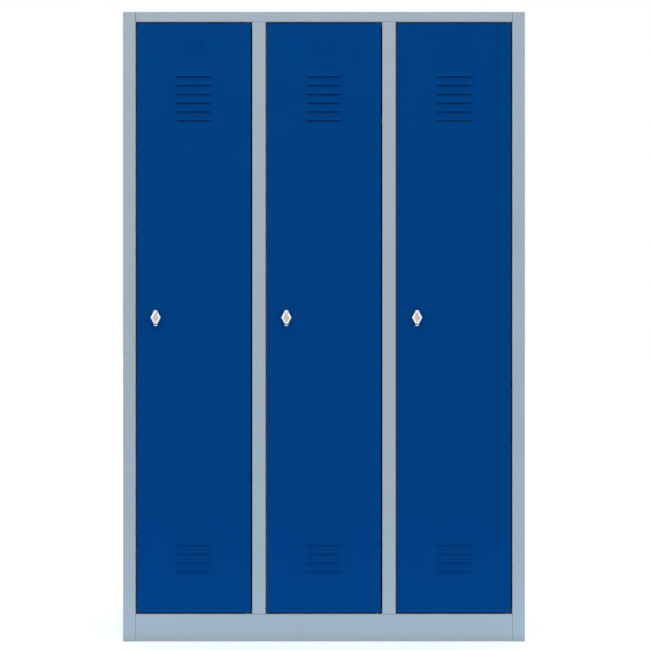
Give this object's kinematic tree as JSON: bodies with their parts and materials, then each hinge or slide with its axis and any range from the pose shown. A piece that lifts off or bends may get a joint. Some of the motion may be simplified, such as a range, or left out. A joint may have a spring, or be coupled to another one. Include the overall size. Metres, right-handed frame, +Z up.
{
  "type": "locker cabinet",
  "caption": "Tall sheet-steel wardrobe locker with full-height louvred doors side by side, padlock turn latches, hat shelves, coat rails and sliding hooks.",
  "frame": {"origin": "on the floor, under the middle of the cabinet's bounding box, which includes the latch knobs in front", "axes": "+Z up, -Y out of the doors, +X to the right as seen from the front"},
  "size_m": [1.15, 0.522, 1.8],
  "materials": {
    "body": "light grey powder coat, semi-matt",
    "door": "blue powder coat, semi-matt",
    "zinc": "nickel-plated die-cast zinc",
    "steel": "bright zinc-plated steel",
    "rubber": "matt black",
    "plastic": "moulded grey nylon"
  },
  "bodies": {
    "root": {"left_side_panel": "body", "right_side_panel": "body", "back_panel": "body", "top_panel": "body", "bottom_panel": "body", "top_front_rail": "body", "plinth_front": "body", "left_mullion": "body", "right_mullion": "body", "left_partition": "body", "right_partition": "body", "left_lower_hinge_pin": "plastic", "left_upper_hinge_pin": "plastic", "left_lower_buffer": "rubber", "left_upper_buffer": "rubber", "left_hat_shelf": "body", "left_coat_rail": "steel", "centre_lower_hinge_pin": "plastic", "centre_upper_hinge_pin": "plastic", "centre_lower_buffer": "rubber", "centre_upper_buffer": "rubber", "centre_hat_shelf": "body", "centre_coat_rail": "steel", "right_lower_hinge_pin": "plastic", "right_upper_hinge_pin": "plastic", "right_lower_buffer": "rubber", "right_upper_buffer": "rubber", "right_hat_shelf": "body", "right_coat_rail": "steel"},
    "left_door": {"left_door": "door", "left_door_stiffener": "door", "left_latch_housing": "zinc", "left_latch_nut": "steel"},
    "left_latch": {"left_latch_knob": "zinc", "left_latch_cam": "steel", "left_cam_screw": "steel"},
    "left_hook_1": {"left_hook_1": "plastic"},
    "left_hook_2": {"left_hook_2": "plastic"},
    "left_hook_3": {"left_hook_3": "plastic"},
    "centre_door": {"centre_door": "door", "centre_door_stiffener": "door", "centre_latch_housing": "zinc", "centre_latch_nut": "steel"},
    "centre_latch": {"centre_latch_knob": "zinc", "centre_latch_cam": "steel", "centre_cam_screw": "steel"},
    "centre_hook_1": {"centre_hook_1": "plastic"},
    "centre_hook_2": {"centre_hook_2": "plastic"},
    "centre_hook_3": {"centre_hook_3": "plastic"},
    "right_door": {"right_door": "door", "right_door_stiffener": "door", "right_latch_housing": "zinc", "right_latch_nut": "steel"},
    "right_latch": {"right_latch_knob": "zinc", "right_latch_cam": "steel", "right_cam_screw": "steel"},
    "right_hook_1": {"right_hook_1": "plastic"},
    "right_hook_2": {"right_hook_2": "plastic"},
    "right_hook_3": {"right_hook_3": "plastic"}
  },
  "joints": [
    {"name": "left_door_hinge", "type": "hinge", "parent": "root", "child": "left_door", "pos_m": [-0.21928, -0.233, 0.925], "axis": [0, 0, 1], "range_deg": [0, 110]},
    {"name": "left_latch_turn", "type": "hinge", "parent": "left_door", "child": "left_latch", "pos_m": [-0.47875, -0.239, 0.928], "axis": [0, 1, 0], "range_deg": [0, 90]},
    {"name": "left_hook_1_slide", "type": "slide", "parent": "root", "child": "left_hook_1", "axis": [1, 0, 0], "range_m": [-0.045, 0.045]},
    {"name": "left_hook_2_slide", "type": "slide", "parent": "root", "child": "left_hook_2", "axis": [1, 0, 0], "range_m": [-0.045, 0.045]},
    {"name": "left_hook_3_slide", "type": "slide", "parent": "root", "child": "left_hook_3", "axis": [1, 0, 0], "range_m": [-0.045, 0.045]},
    {"name": "centre_door_hinge", "type": "hinge", "parent": "root", "child": "centre_door", "pos_m": [0.15263, -0.233, 0.925], "axis": [0, 0, 1], "range_deg": [0, 110]},
    {"name": "centre_latch_turn", "type": "hinge", "parent": "centre_door", "child": "centre_latch", "pos_m": [-0.10683, -0.239, 0.928], "axis": [0, 1, 0], "range_deg": [0, 90]},
    {"name": "centre_hook_1_slide", "type": "slide", "parent": "root", "child": "centre_hook_1", "axis": [1, 0, 0], "range_m": [-0.045, 0.045]},
    {"name": "centre_hook_2_slide", "type": "slide", "parent": "root", "child": "centre_hook_2", "axis": [1, 0, 0], "range_m": [-0.045, 0.045]},
    {"name": "centre_hook_3_slide", "type": "slide", "parent": "root", "child": "centre_hook_3", "axis": [1, 0, 0], "range_m": [-0.045, 0.045]},
    {"name": "right_door_hinge", "type": "hinge", "parent": "root", "child": "right_door", "pos_m": [0.52455, -0.233, 0.925], "axis": [0, 0, 1], "range_deg": [0, 110]},
    {"name": "right_latch_turn", "type": "hinge", "parent": "right_door", "child": "right_latch", "pos_m": [0.26508, -0.239, 0.928], "axis": [0, 1, 0], "range_deg": [0, 90]},
    {"name": "right_hook_1_slide", "type": "slide", "parent": "root", "child": "right_hook_1", "axis": [1, 0, 0], "range_m": [-0.045, 0.045]},
    {"name": "right_hook_2_slide", "type": "slide", "parent": "root", "child": "right_hook_2", "axis": [1, 0, 0], "range_m": [-0.045, 0.045]},
    {"name": "right_hook_3_slide", "type": "slide", "parent": "root", "child": "right_hook_3", "axis": [1, 0, 0], "range_m": [-0.045, 0.045]}
  ]
}
